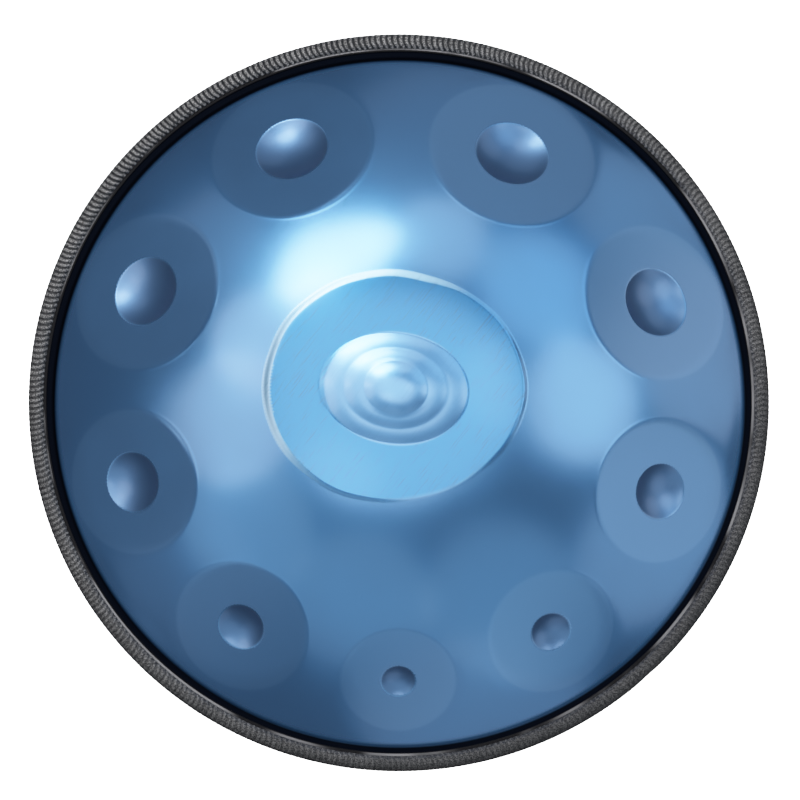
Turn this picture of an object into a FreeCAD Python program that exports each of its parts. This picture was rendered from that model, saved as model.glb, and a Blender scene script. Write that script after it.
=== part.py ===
"""Handpan: two domed steel shells glued flange to flange, with a guarded and braided rim.

Frame: millimetres, +Z up along the instrument's axis. The origin is at the bottom centre, in the
plane of the flat ring round the sound port, so the instrument stands on z = 0. The notes are
placed by their azimuth, counted anticlockwise from +X when seen from above.

The note side is one sheet. Each tone field is a flat cut off the dome, each dimple is a ball
pressed into that flat, and the central ding is an elliptical plateau, flatter than the dome and
standing proud of it at its edge, with a stepped boss on it.
The sheet is the space between an outer form and the same form made smaller by its thickness.
"""
import FreeCAD, Part
import math
import os
import Sketcher

Vector = FreeCAD.Vector

# alias, value, what it measures (mm, or degrees for angles)
DIMENSIONS = [
    ("seam_height", 114, "height of the middle of the glue seam above the resting plane"),
    ("sheet", 1.2, "thickness of both steel shells"),
    ("glue_thickness", 0.3, "thickness of the glue between the flanges"),
    ("glue_inner_radius", 266, "inner edge of the glue ring"),
    ("flange_radius", 275, "outer edge of both flanges"),
    ("flange_fillet", 4, "outside radius where each dome turns into its flange"),
    ("base_radius", 262, "radius where the note-side dome meets its flange"),
    ("dome_radius", 410, "outside radius of curvature of the note-side dome"),
    ("bottom_dome_radius", 346, "outside radius of curvature of the bottom shell"),
    ("rest_radius", 70, "outer edge of the flat ring that the instrument stands on"),
    ("port_radius", 50, "radius of the sound port"),
    ("port_roll", 6, "outside radius of the roll from the flat ring into the port's neck"),
    ("neck_height", 28, "height of the top of the port's neck"),
    ("field_tool_height", 20, "height of the cutter that flattens a tone field"),
    ("field_tool_margin", 3, "how far that cutter is wider than its tone field"),
    ("plateau_crown_radius", 560, "outside radius of curvature of the ding's plateau"),
    ("plateau_sink", 2.1, "depth of the plateau's crown below the dome's apex"),
    ("plateau_length", 202, "length of the plateau's wall along X, at its buried foot"),
    ("plateau_width", 181, "width of the plateau's wall along Y, at its buried foot"),
    ("plateau_offset_x", -2.5, "centre of the plateau along X"),
    ("plateau_offset_y", 3, "centre of the plateau along Y"),
    ("plateau_foot_depth", 18, "depth of that foot below the dome's apex"),
    ("plateau_wall_height", 21, "height of the cone that gives the plateau its sloping edge"),
    ("plateau_wall_inset", 12, "how far that cone closes in over its height"),
    ("tier_fullness", 0.8, "outline of a tier as a part of its ellipsoid's own width"),
    ("ding_offset_x", -2.2, "centre of the ding's boss along X"),
    ("ding_offset_y", 0, "centre of the ding's boss along Y"),
    ("guard_inner_radius", 266, "inner edge of the rubber channel's lips"),
    ("guard_thickness", 1.5, "thickness of the rubber channel"),
    ("braid_centre_radius", 273.5, "radius of the circle at the middle of the braided cover"),
    ("braid_radius", 6.5, "radius of the braided cover's round section"),
]

# Tone fields, from the lowest note to the highest: azimuth (degrees), distance of the centre from
# the axis, width of the flat field, width of the dimple, depth of the dimple.
TONE_FIELDS = [
    (65.0, 201.8, 128.0, 55.8, 7.1),
    (113.3, 203.0, 124.0, 54.9, 7.0),
    (157.4, 205.5, 122.0, 52.7, 6.7),
    (20.1, 205.0, 120.0, 52.3, 6.7),
    (198.0, 208.9, 109.0, 44.7, 5.7),
    (339.9, 207.9, 108.0, 41.5, 5.3),
    (235.8, 209.0, 103.0, 35.1, 4.5),
    (302.7, 210.0, 98.0, 30.1, 3.8),
    (269.9, 213.2, 86.0, 25.3, 3.2),
]
FIELD_COLUMNS = ("azimuth", "distance", "width", "dimple_width", "dimple_depth")

# Tiers of the ding's boss, from the outer one to the button: length along X and width along Y of
# the outline, height of that outline above the plateau's top, and rise of the tier's crown.
DING_TIERS = [
    (105.0, 87.0, -2.0, 6.2),
    (76.5, 62.5, 1.3, 4.8),
    (46.5, 40.0, 4.6, 3.9),
]
TIER_COLUMNS = ("length", "width", "foot", "rise")

# Expressions that several objects share.
FLANGE_TOP = "(dims.seam_height + dims.glue_thickness / 2 + dims.sheet)"
TOP_SEAM = "(dims.seam_height + dims.glue_thickness / 2)"
BOTTOM_SEAM = "(dims.seam_height - dims.glue_thickness / 2)"
DOME_CENTRE = f"({FLANGE_TOP} - sqrt(dims.dome_radius ^ 2 - dims.base_radius ^ 2))"
DOME_APEX = f"({DOME_CENTRE} + dims.dome_radius)"
PLATEAU_TOP = f"({DOME_APEX} - dims.plateau_sink)"
GUARD_HALF_GAP = "(dims.glue_thickness / 2 + dims.sheet)"

doc = FreeCAD.newDocument("handpan")


# ---------------------------------------------------------------- the sheet of dimensions

def make_sheet():
    """Write every driving dimension into one spreadsheet, with an alias for each."""
    sheet = doc.addObject("Spreadsheet::Sheet", "dims")
    rows = list(DIMENSIONS)
    for number, field in enumerate(TONE_FIELDS, start=1):
        for column, size in zip(FIELD_COLUMNS, field):
            rows.append((f"field_{number}_{column}", size, f"tone field {number}: {column}"))
    for number, tier in enumerate(DING_TIERS, start=1):
        for column, size in zip(TIER_COLUMNS, tier):
            rows.append((f"tier_{number}_{column}", size, f"ding tier {number}: {column}"))
    for row, (alias, size, meaning) in enumerate(rows, start=1):
        sheet.set(f"A{row}", meaning)
        sheet.set(f"B{row}", str(size))
        sheet.setAlias(f"B{row}", alias)
    doc.recompute()
    return sheet


dims = make_sheet()


def dim(alias):
    """Value of one driving dimension."""
    return float(getattr(dims, alias))


# ---------------------------------------------------------------- small modelling helpers

class Outline:
    """A closed sketch outline on the XZ plane, joined end to end; x is the radius, y the height."""

    def __init__(self, body, name):
        self.sketch = body.newObject("Sketcher::SketchObject", name)
        plane = [item for item in body.Origin.OriginFeatures if item.Role == "XZ_Plane"][0]
        self.sketch.AttachmentSupport = [(plane, "")]
        self.sketch.MapMode = "FlatFace"
        self.ends = []

    def line(self, start, end):
        """Add a straight piece and return its index."""
        segment = Part.LineSegment(Vector(*start, 0), Vector(*end, 0))
        index = self.sketch.addGeometry(segment, False)
        self.ends.append((index, 1, 2))
        return index

    def arc(self, start, end, centre, clockwise=False):
        """Add an arc from start to end about centre and return its index."""
        radius = math.dist(start, centre)
        first, last = (end, start) if clockwise else (start, end)
        first_angle = math.atan2(first[1] - centre[1], first[0] - centre[0])
        last_angle = math.atan2(last[1] - centre[1], last[0] - centre[0])
        circle = Part.Circle(Vector(*centre, 0), Vector(0, 0, 1), radius)
        segment = Part.ArcOfCircle(circle, first_angle, last_angle)
        index = self.sketch.addGeometry(segment, False)
        self.ends.append((index, 2, 1) if clockwise else (index, 1, 2))
        return index

    def join(self, smooth=()):
        """Join the pieces in order; pairs named in smooth meet tangentially."""
        for this, following in zip(self.ends, self.ends[1:] + self.ends[:1]):
            kind = "Tangent" if (this[0], following[0]) in smooth else "Coincident"
            self.fix(kind, this[0], this[2], following[0], following[1])

    def fix(self, *constraint):
        """Add a constraint that has no size."""
        self.sketch.addConstraint(Sketcher.Constraint(*constraint))

    def size(self, name, expression, *constraint):
        """Add a named constraint whose size follows an expression."""
        index = self.sketch.addConstraint(Sketcher.Constraint(*constraint))
        self.sketch.renameConstraint(index, name)
        self.sketch.setExpression(f"Constraints.{name}", expression)

    def end_of(self, index):
        """End point number of a piece, in the direction in which the outline was drawn."""
        return next(last for piece, first, last in self.ends if piece == index)


def revolve(body, sketch, name):
    """Turn a sketch once round the Z axis and make it the body's tip."""
    turn = body.newObject("PartDesign::Revolution", name)
    turn.Profile = sketch
    turn.ReferenceAxis = (sketch, ["V_Axis"])
    turn.Angle = 360
    body.Tip = turn


def make_fuse(name, shapes):
    """Fuse several objects into one."""
    fuse = doc.addObject("Part::MultiFuse", name)
    fuse.Shapes = shapes
    return fuse


def make_cut(name, base, tool):
    """Cut a tool from a base."""
    cut = doc.addObject("Part::Cut", name)
    cut.Base = base
    cut.Tool = tool
    return cut


# ---------------------------------------------------------------- top shell

def dome_form(name, inset):
    """Solid under the note-side dome, made smaller by inset (an expression).

    With no inset it has the flange's full thickness; with an inset of the sheet's thickness it is
    the space under the sheet, whose floor is the flange's underside.
    """
    body = doc.addObject("PartDesign::Body", name)
    outline = Outline(body, f"{name}_outline")
    is_outer = inset == "0"
    reduction = 0 if is_outer else dim("sheet")
    seam = dim("seam_height") + dim("glue_thickness") / 2
    flange_top = seam + dim("sheet")
    dome_radius = dim("dome_radius")
    centre = (0, flange_top - math.sqrt(dome_radius ** 2 - dim("base_radius") ** 2))
    fillet_radius = dim("flange_fillet")
    fillet_height = flange_top + fillet_radius
    reach = dome_radius + fillet_radius
    fillet_x = math.sqrt(reach ** 2 - (fillet_height - centre[1]) ** 2)
    fillet_centre = (fillet_x, fillet_height)
    on_flange = (fillet_x, flange_top - reduction)
    share = (dome_radius - reduction) / reach
    on_dome = (fillet_x * share, centre[1] + (fillet_height - centre[1]) * share)
    apex = (0, centre[1] + dome_radius - reduction)

    if is_outer:
        floor = outline.line((0, seam), (dim("flange_radius"), seam))
        edge = outline.line((dim("flange_radius"), seam), (dim("flange_radius"), flange_top))
        flange = outline.line((dim("flange_radius"), flange_top), on_flange)
    else:
        floor = flange = outline.line((0, seam), on_flange)
    fillet = outline.arc(on_flange, on_dome, fillet_centre, clockwise=True)
    dome = outline.arc(on_dome, apex, centre)
    axis = outline.line(apex, (0, seam))
    outline.join(smooth={(flange, fillet), (fillet, dome)})

    outline.fix("Horizontal", floor)
    outline.fix("PointOnObject", floor, 1, -2)
    outline.fix("Vertical", axis)
    outline.fix("PointOnObject", dome, 3, -2)
    outline.size("floor_height", TOP_SEAM, "DistanceY", -1, 1, floor, 1, seam)
    outline.size("dome_centre", f"-{DOME_CENTRE}", "DistanceY", dome, 3, -1, 1, -centre[1])
    outline.size("dome_radius", f"dims.dome_radius - {inset}", "Radius", dome,
                 dome_radius - reduction)
    outline.size("flange_fillet", f"dims.flange_fillet + {inset}", "Radius", fillet,
                 fillet_radius + reduction)
    if is_outer:
        outline.fix("Vertical", edge)
        outline.fix("Horizontal", flange)
        outline.size("flange_radius", "dims.flange_radius", "DistanceX", -1, 1, edge, 1,
                     dim("flange_radius"))
        outline.size("flange_thickness", "dims.sheet", "DistanceY", edge, 1, edge, 2, dim("sheet"))
    revolve(body, outline.sketch, f"{name}_turned")
    return body


def ding_wall(name, inset):
    """The elliptical cone that bounds the plateau, from its buried foot to above its crown."""
    rings = []
    for level, height, closing in (("foot", "0", "0"),
                                   ("head", "dims.plateau_wall_height", "dims.plateau_wall_inset")):
        ring = doc.addObject("Part::Ellipse", f"{name}_{level}")
        ring.setExpression("MajorRadius", f"dims.plateau_length / 2 - {closing} - {inset}")
        ring.setExpression("MinorRadius", f"dims.plateau_width / 2 - {closing} - {inset}")
        ring.setExpression("Placement.Base.x", "dims.plateau_offset_x")
        ring.setExpression("Placement.Base.y", "dims.plateau_offset_y")
        ring.setExpression("Placement.Base.z", f"{DOME_APEX} - dims.plateau_foot_depth + {height}")
        rings.append(ring)
    wall = doc.addObject("Part::Loft", f"{name}_wall")
    wall.Sections = rings
    wall.Solid = True
    wall.Ruled = True
    return wall


def ding_form(name, wall, inset):
    """The ding's plateau and stepped boss, made smaller by inset (an expression)."""
    crown = doc.addObject("Part::Sphere", f"{name}_crown")
    crown.setExpression("Radius", f"dims.plateau_crown_radius - {inset}")
    crown.setExpression("Placement.Base.z", f"{PLATEAU_TOP} - dims.plateau_crown_radius")
    plateau = doc.addObject("Part::MultiCommon", f"{name}_plateau")
    plateau.Shapes = [wall, crown]
    return make_fuse(name, [plateau] + [ding_tier(name, number, inset) for number in (1, 2, 3)])


def ding_tier(name, number, inset):
    """One tier of the boss: the top of an ellipsoid that sinks into the tier below it."""
    tier = doc.addObject("Part::Ellipsoid", f"{name}_tier_{number}")
    half_height = f"(dims.tier_{number}_rise / (1 - sqrt(1 - dims.tier_fullness ^ 2)))"
    crown_height = f"(dims.tier_{number}_foot + dims.tier_{number}_rise)"
    tier.setExpression("Radius1", f"{half_height} - {inset}")
    tier.setExpression("Radius2", f"dims.tier_{number}_length / 2 / dims.tier_fullness - {inset}")
    tier.setExpression("Radius3", f"dims.tier_{number}_width / 2 / dims.tier_fullness - {inset}")
    tier.setExpression("Placement.Base.x", "dims.ding_offset_x")
    tier.setExpression("Placement.Base.y", "dims.ding_offset_y")
    tier.setExpression("Placement.Base.z",
                       f"{PLATEAU_TOP} + {crown_height} - {half_height}")
    return tier


def note_placement(number, distance):
    """Expression for a frame on a tone field's axis, at a distance from the dome's centre."""
    tilt = f"asin(dims.field_{number}_distance / {flat_distance(number)})"
    return (f"placement(vector(0; 0; {DOME_CENTRE}); "
            f"rotation(vector(0; 0; 1); dims.field_{number}_azimuth))"
            f" * placement(vector(0; 0; 0); rotation(vector(0; 1; 0); {tilt}))"
            f" * placement(vector(0; 0; {distance}); rotation(vector(0; 0; 1); 0))")


def flat_distance(number):
    """Expression for a tone field's distance from the dome's centre of curvature."""
    return f"sqrt(dims.dome_radius ^ 2 - (dims.field_{number}_width / 2) ^ 2)"


def note_tools(name, number, inset):
    """Cutters for one note: a cylinder that flattens the field and a ball that presses the dimple."""
    flat = flat_distance(number)
    depth = f"dims.field_{number}_dimple_depth"
    half_width = f"(dims.field_{number}_dimple_width / 2)"
    ball_radius = f"(({half_width} ^ 2 + {depth} ^ 2) / (2 * {depth}))"

    flattener = doc.addObject("Part::Cylinder", f"{name}_field_{number}")
    flattener.setExpression("Radius", f"dims.field_{number}_width / 2 + dims.field_tool_margin")
    flattener.setExpression("Height", "dims.field_tool_height")
    flattener.setExpression("Placement", note_placement(number, f"{flat} - {inset}"))

    ball = doc.addObject("Part::Sphere", f"{name}_dimple_{number}")
    ball.setExpression("Radius", f"{ball_radius} + {inset}")
    ball.setExpression("Placement", note_placement(number, f"{flat} + {ball_radius} - {depth}"))
    return [flattener, ball]


def note_side_form(name, inset):
    """The whole note side as one solid: dome and ding, less the tone fields and dimples."""
    wall = ding_wall(f"{name}_ding", inset)
    pocketed = make_cut(f"{name}_pocketed", dome_form(f"{name}_dome", inset), wall)
    raised = make_fuse(f"{name}_raised", [pocketed, ding_form(f"{name}_ding", wall, inset)])
    tools = []
    for number in range(1, len(TONE_FIELDS) + 1):
        tools += note_tools(name, number, inset)
    return make_cut(name, raised, make_fuse(f"{name}_tools", tools))


def make_top_shell():
    """The note side's steel sheet, between its outer form and its inner form."""
    outer = note_side_form("note_side", "0")
    inner = note_side_form("under_side", "dims.sheet")
    return make_cut("top_shell", outer, inner)


# ---------------------------------------------------------------- bottom shell

def make_bottom_shell():
    """The lower steel sheet, with a flat resting ring and a port whose neck turns inward."""
    body = doc.addObject("PartDesign::Body", "bottom_shell")
    outline = Outline(body, "bottom_section")
    sheet = dim("sheet")
    seam = dim("seam_height") - dim("glue_thickness") / 2
    flange_bottom = seam - sheet
    port = dim("port_radius")
    roll = dim("port_roll")
    neck = dim("neck_height")
    rest = dim("rest_radius")
    flange = dim("flange_radius")
    dome_radius = dim("bottom_dome_radius")
    centre = (0, math.sqrt(dome_radius ** 2 - rest ** 2))
    roll_centre = (port + roll, roll)
    fillet_radius = dim("flange_fillet")
    fillet_height = flange_bottom - fillet_radius
    reach = dome_radius + fillet_radius
    fillet_centre = (math.sqrt(reach ** 2 - (centre[1] - fillet_height) ** 2), fillet_height)

    def towards_fillet(radius):
        """Point at that distance from the dome's centre, on the way to the fillet's centre."""
        share = radius / reach
        return (fillet_centre[0] * share, centre[1] + (fillet_height - centre[1]) * share)

    inner_radius = dome_radius - sheet
    inner_foot = (math.sqrt(inner_radius ** 2 - (centre[1] - sheet) ** 2), sheet)

    bore = outline.line((port, neck), (port, roll))
    roll_out = outline.arc((port, roll), (port + roll, 0), roll_centre)
    ring = outline.line((port + roll, 0), (rest, 0))
    dome_out = outline.arc((rest, 0), towards_fillet(dome_radius), centre)
    fillet_out = outline.arc(towards_fillet(dome_radius), (fillet_centre[0], flange_bottom),
                             fillet_centre, clockwise=True)
    flange_low = outline.line((fillet_centre[0], flange_bottom), (flange, flange_bottom))
    flange_edge = outline.line((flange, flange_bottom), (flange, seam))
    flange_high = outline.line((flange, seam), (fillet_centre[0], seam))
    fillet_in = outline.arc((fillet_centre[0], seam), towards_fillet(inner_radius), fillet_centre)
    dome_in = outline.arc(towards_fillet(inner_radius), inner_foot, centre, clockwise=True)
    ring_in = outline.line(inner_foot, (port + roll, sheet))
    roll_in = outline.arc((port + roll, sheet), (port + sheet, roll), roll_centre, clockwise=True)
    neck_in = outline.line((port + sheet, roll), (port + sheet, neck))
    neck_end = outline.line((port + sheet, neck), (port, neck))
    outline.join(smooth={(bore, roll_out), (roll_out, ring), (dome_out, fillet_out),
                         (fillet_out, flange_low), (flange_high, fillet_in),
                         (fillet_in, dome_in), (ring_in, roll_in), (roll_in, neck_in)})

    for upright in (bore, flange_edge):
        outline.fix("Vertical", upright)
    for level in (ring, flange_low, flange_high, ring_in, neck_end):
        outline.fix("Horizontal", level)
    outline.fix("PointOnObject", ring, 2, -1)
    outline.fix("PointOnObject", dome_out, 3, -2)
    outline.fix("Coincident", roll_out, 3, roll_in, 3)
    outline.fix("Coincident", fillet_out, 3, fillet_in, 3)
    outline.fix("Coincident", dome_out, 3, dome_in, 3)
    outline.size("port_radius", "dims.port_radius", "DistanceX", -1, 1, bore, 1, port)
    outline.size("neck_height", "dims.neck_height", "DistanceY", -1, 1, bore, 1, neck)
    outline.size("port_roll", "dims.port_roll", "Radius", roll_out, roll)
    outline.size("rest_radius", "dims.rest_radius", "DistanceX", -1, 1, ring, 2, rest)
    outline.size("dome_radius", "dims.bottom_dome_radius", "Radius", dome_out, dome_radius)
    outline.size("flange_fillet", "dims.flange_fillet", "Radius", fillet_out, fillet_radius)
    outline.size("seam", BOTTOM_SEAM, "DistanceY", -1, 1, flange_edge, 2, seam)
    outline.size("flange_radius", "dims.flange_radius", "DistanceX", -1, 1, flange_edge, 1, flange)
    outline.size("flange_sheet", "dims.sheet", "DistanceY", flange_edge, 1, flange_edge, 2, sheet)
    outline.size("ring_sheet", "dims.sheet", "DistanceY", ring, 1, ring_in,
                 outline.end_of(ring_in), sheet)
    revolve(body, outline.sketch, "bottom_turned")
    return body


# ---------------------------------------------------------------- seam and rim

def ring_section(body, name, corners):
    """Outline with straight sides through corners given as (radius, height) expressions."""
    outline = Outline(body, name)
    points = [(evaluate(radius), evaluate(height)) for radius, height in corners]
    sides = [outline.line(start, end) for start, end in zip(points, points[1:] + points[:1])]
    outline.join()
    for number, (side, point, (radius, height)) in enumerate(zip(sides, points, corners)):
        outline.size(f"radius_{number}", radius, "DistanceX", -1, 1, side, 1, point[0])
        outline.size(f"height_{number}", height, "DistanceY", -1, 1, side, 1, point[1])
    return outline


def evaluate(expression):
    """Value of an expression on the sheet's dimensions."""
    return float(dims.evalExpression(expression.replace("dims.", "")))


def make_glue_seam():
    """The thin ring of adhesive between the two flanges."""
    body = doc.addObject("PartDesign::Body", "glue_seam")
    corners = [("dims.glue_inner_radius", BOTTOM_SEAM),
               ("dims.flange_radius", BOTTOM_SEAM),
               ("dims.flange_radius", TOP_SEAM),
               ("dims.glue_inner_radius", TOP_SEAM)]
    outline = ring_section(body, "glue_section", corners)
    revolve(body, outline.sketch, "glue_turned")
    return body


def make_rim_guard():
    """The rubber channel that grips both flanges."""
    body = doc.addObject("PartDesign::Body", "rim_guard")
    inside_top = f"(dims.seam_height + {GUARD_HALF_GAP})"
    inside_bottom = f"(dims.seam_height - {GUARD_HALF_GAP})"
    outside_top = f"({inside_top} + dims.guard_thickness)"
    outside_bottom = f"({inside_bottom} - dims.guard_thickness)"
    web = "(dims.flange_radius + dims.guard_thickness)"
    corners = [("dims.guard_inner_radius", outside_bottom),
               (web, outside_bottom),
               (web, outside_top),
               ("dims.guard_inner_radius", outside_top),
               ("dims.guard_inner_radius", inside_top),
               ("dims.flange_radius", inside_top),
               ("dims.flange_radius", inside_bottom),
               ("dims.guard_inner_radius", inside_bottom)]
    outline = ring_section(body, "guard_section", corners)
    revolve(body, outline.sketch, "guard_turned")
    return body


def make_rim_braid():
    """The braided cover: a round cord, slit along its inner side to sit over the rubber channel."""
    body = doc.addObject("PartDesign::Body", "rim_braid")
    outline = Outline(body, "braid_section")
    half_slot = evaluate(GUARD_HALF_GAP) + dim("guard_thickness")
    middle = dim("seam_height")
    top = middle + half_slot
    bottom = middle - half_slot
    web = dim("flange_radius") + dim("guard_thickness")
    centre = (dim("braid_centre_radius"), middle)
    lip = centre[0] - math.sqrt(dim("braid_radius") ** 2 - half_slot ** 2)

    round_side = outline.arc((lip, bottom), (lip, top), centre)
    slot_top = outline.line((lip, top), (web, top))
    slot_end = outline.line((web, top), (web, bottom))
    slot_bottom = outline.line((web, bottom), (lip, bottom))
    outline.join()
    outline.fix("Horizontal", slot_top)
    outline.fix("Horizontal", slot_bottom)
    outline.size("centre_radius", "dims.braid_centre_radius", "DistanceX", -1, 1,
                 round_side, 3, centre[0])
    outline.size("centre_height", "dims.seam_height", "DistanceY", -1, 1, round_side, 3, middle)
    outline.size("braid_radius", "dims.braid_radius", "Radius", round_side, dim("braid_radius"))
    web_radius = "dims.flange_radius + dims.guard_thickness"
    outline.size("web_top", web_radius, "DistanceX", -1, 1, slot_end, 1, web)
    outline.size("web_bottom", web_radius, "DistanceX", -1, 1, slot_end, 2, web)
    slot_rise = f"{GUARD_HALF_GAP} + dims.guard_thickness"
    outline.size("slot_top", f"dims.seam_height + {slot_rise}", "DistanceY", -1, 1,
                 slot_end, 1, top)
    outline.size("slot_bottom", f"dims.seam_height - ({slot_rise})", "DistanceY", -1, 1,
                 slot_end, 2, bottom)
    revolve(body, outline.sketch, "braid_turned")
    return body


# ---------------------------------------------------------------- build, check and write

def check(subparts):
    """Stop if any object failed or any sub-part has no valid solid."""
    for item in doc.Objects:
        if "Invalid" in item.State or "Error" in item.State:
            raise RuntimeError(f"{item.Label} failed: {item.State}")
    for item in subparts:
        if item.Shape.isNull() or not item.Shape.isValid() or len(item.Shape.Solids) != 1:
            raise RuntimeError(f"{item.Label} is not one valid solid")


def main():
    """Build every sub-part and write its shape to its own file."""
    subparts = [make_top_shell(), make_bottom_shell(), make_glue_seam(), make_rim_guard(),
                make_rim_braid()]
    doc.recompute()
    check(subparts)
    os.makedirs("parts", exist_ok=True)
    for item in subparts:
        item.Shape.exportStep(f"parts/{item.Label}.step")
        box = item.Shape.BoundBox
        print(f"{item.Label}: volume {item.Shape.Volume:.0f}, z {box.ZMin:.2f} to {box.ZMax:.2f}, "
              f"x {box.XMin:.2f} to {box.XMax:.2f}")


main()
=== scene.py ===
"""Looks for a handpan: blued steel shells, rubber rim guard and braided rim cover.

Shapes are worked out in millimetres in the CAD frame (+Z up along the instrument's axis) and
turned into metres when a mesh is made. The note side's outer face is one function of a flat map
of the dome, so that the mesh, its normals and its masks all come from the same formulas.
"""

import math

import bpy
import numpy as np
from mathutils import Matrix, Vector, geometry


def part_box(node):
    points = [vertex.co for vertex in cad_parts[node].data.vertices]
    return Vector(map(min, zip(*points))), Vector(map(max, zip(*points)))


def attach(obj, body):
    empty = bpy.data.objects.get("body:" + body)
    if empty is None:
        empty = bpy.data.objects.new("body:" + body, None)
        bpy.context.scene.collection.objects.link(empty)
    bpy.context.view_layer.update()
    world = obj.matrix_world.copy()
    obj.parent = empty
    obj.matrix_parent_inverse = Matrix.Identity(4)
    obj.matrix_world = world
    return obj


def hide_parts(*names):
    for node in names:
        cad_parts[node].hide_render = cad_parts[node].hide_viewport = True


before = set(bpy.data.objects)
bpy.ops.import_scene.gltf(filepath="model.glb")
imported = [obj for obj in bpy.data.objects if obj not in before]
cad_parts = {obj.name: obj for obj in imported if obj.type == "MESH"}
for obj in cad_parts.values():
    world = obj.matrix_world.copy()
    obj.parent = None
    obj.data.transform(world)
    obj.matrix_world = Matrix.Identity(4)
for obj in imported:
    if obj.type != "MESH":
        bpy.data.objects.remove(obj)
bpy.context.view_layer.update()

MM = 0.001
FULL_TURN = 2 * math.pi


def node_box(name):
    """Lowest and highest corners of a CAD node, in millimetres."""
    low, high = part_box(name)
    return low / MM, high / MM


# ---------------------------------------------------------------- sizes (mm), from the CAD frame

_, shell_high = node_box("top_shell")
glue_low, glue_high = node_box("glue_seam")
_, guard_high = node_box("rim_guard")
braid_low, braid_high = node_box("rim_braid")

SHEET = 1.2
FLANGE_RADIUS = shell_high.x
FLANGE_FILLET = 4.0
SEAM_HEIGHT = (glue_low.z + glue_high.z) / 2
SEAM_TOP = glue_high.z
SEAM_BOTTOM = glue_low.z
FLANGE_TOP = SEAM_TOP + SHEET

# Note-side dome.
DOME_RADIUS = 410.0
BASE_RADIUS = 262.0
DOME_CENTRE_Z = FLANGE_TOP - math.sqrt(DOME_RADIUS ** 2 - BASE_RADIUS ** 2)
DOME_APEX_Z = DOME_CENTRE_Z + DOME_RADIUS
FILLET_RADIUS_OUT = math.sqrt(
    (DOME_RADIUS + FLANGE_FILLET) ** 2 - (FLANGE_TOP + FLANGE_FILLET - DOME_CENTRE_Z) ** 2)
DOME_EDGE_RADIUS = FILLET_RADIUS_OUT * DOME_RADIUS / (DOME_RADIUS + FLANGE_FILLET)

# Tone fields, from the lowest note to the highest: azimuth (degrees), distance of the centre from
# the axis, width of the field, width of the dimple, depth of the dimple.
TONE_FIELDS = [
    (65.0, 201.8, 128.0, 55.8, 7.1),
    (113.3, 203.0, 124.0, 54.9, 7.0),
    (157.4, 205.5, 122.0, 52.7, 6.7),
    (20.1, 205.0, 120.0, 52.3, 6.7),
    (198.0, 208.9, 109.0, 44.7, 5.7),
    (339.9, 207.9, 108.0, 41.5, 5.3),
    (235.8, 209.0, 103.0, 35.1, 4.5),
    (302.7, 210.0, 98.0, 30.1, 3.8),
    (269.9, 213.2, 86.0, 25.3, 3.2),
]
FIELD_CROWN = 0.6
FIELD_BLEND_INNER = 0.16
FIELD_BLEND_OUTER = 1.3
FIELD_LIP = 0.05
FIELD_LIP_WIDTH = 1.3
DIMPLE_BLEND = 0.35
PRESS_REACH = 1.5
FIELD_MASK_FADE = 3.0
DIMPLE_MASK_FADE = 1.4
EDGE_FADE = 12.0

# Ding: an elliptical plateau and the three tiers of its boss. A tier has half its length along X,
# half its width along Y, the height of its outline above the plateau's top, its rise, and how
# quickly it steepens towards its outline.
PLATEAU_CENTRE = (-2.5, 3.0)
PLATEAU_HALF_SIZES = (98.2, 86.4)
PLATEAU_CROWN_RADIUS = 560.0
PLATEAU_SINK = 2.1
BEVEL_WIDTH = 3.6
WIDE_BEVEL_WIDTH = 6.0
BEVEL_ROUNDING = 0.3
WIDE_BEVEL_AZIMUTH = 140.0
BOSS_CENTRE = (-2.2, 0.0)
DING_TIERS = [
    (52.5, 43.5, -2.0, 5.4, 3.0),
    (38.25, 31.25, 1.3, 4.6, 2.5),
    (23.25, 20.0, 4.6, 3.9, 2.0),
]
TIER_BLEND = 0.22
TIER_REACH = 1.3

# Unevenness of the ding's outlines, as parts of their size, and the azimuths they point to.
PLATEAU_LEAN = 0.016
PLATEAU_LEAN_AZIMUTH = 210
PLATEAU_LOBES = 0.011
PLATEAU_LOBE_AZIMUTH = 355
PLATEAU_RIPPLE = 0.003
PLATEAU_FINE_RIPPLE = 0.002
TIER_FULLNESS = 0.988
TIER_LEAN = 0.032
TIER_LEAN_AZIMUTH = 150

# How finely the note side is meshed.
OUTER_SPACING = 3.4
INNER_SPACING = 9.0
RIM_COLUMNS = 720
DIMPLE_EDGE_STEPS = (-2.2, -1.3, -0.6, 0.0, 0.6, 1.3, 2.2)
FIELD_EDGE_STEPS = (-4.0, -2.4, -1.3, -0.6, 0.0, 0.6, 1.3, 2.4, 4.0)
PLATEAU_EDGE_STEPS = (-4.0, -2.2, -1.0, -0.3, 0.3, 0.9, 1.5, 2.1, 2.7, 3.4, 4.2, 5.0, 5.8, 7.5, 9.5)
COARSE_EDGE_STEPS = (-3.0, 1.0, 5.0)
TIER_SHARES = (1.05, 1.02, 1.0, 0.985, 0.965, 0.94)
COARSE_TIER_SHARES = (1.02, 0.94)

# Bottom shell.
BOTTOM_DOME_RADIUS = 346.0
REST_RADIUS = 70.0
PORT_RADIUS = 50.0
PORT_ROLL = 6.0
NECK_HEIGHT = 28.0

# Rim guard and braid.
GUARD_INNER_RADIUS = 266.0
GUARD_THICKNESS = 1.5
BRAID_CENTRE_RADIUS = (braid_high.x + GUARD_INNER_RADIUS + 1.0) / 2
BRAID_RADIUS = (braid_high.z - braid_low.z) / 2
STRANDS = 420
SAMPLES_PER_STRAND = 7


# ---------------------------------------------------------------- small numeric helpers

def smoothstep(value):
    """Smooth ramp from 0 to 1 while value goes from 0 to 1."""
    value = np.clip(value, 0.0, 1.0)
    return value * value * (3.0 - 2.0 * value)


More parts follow.
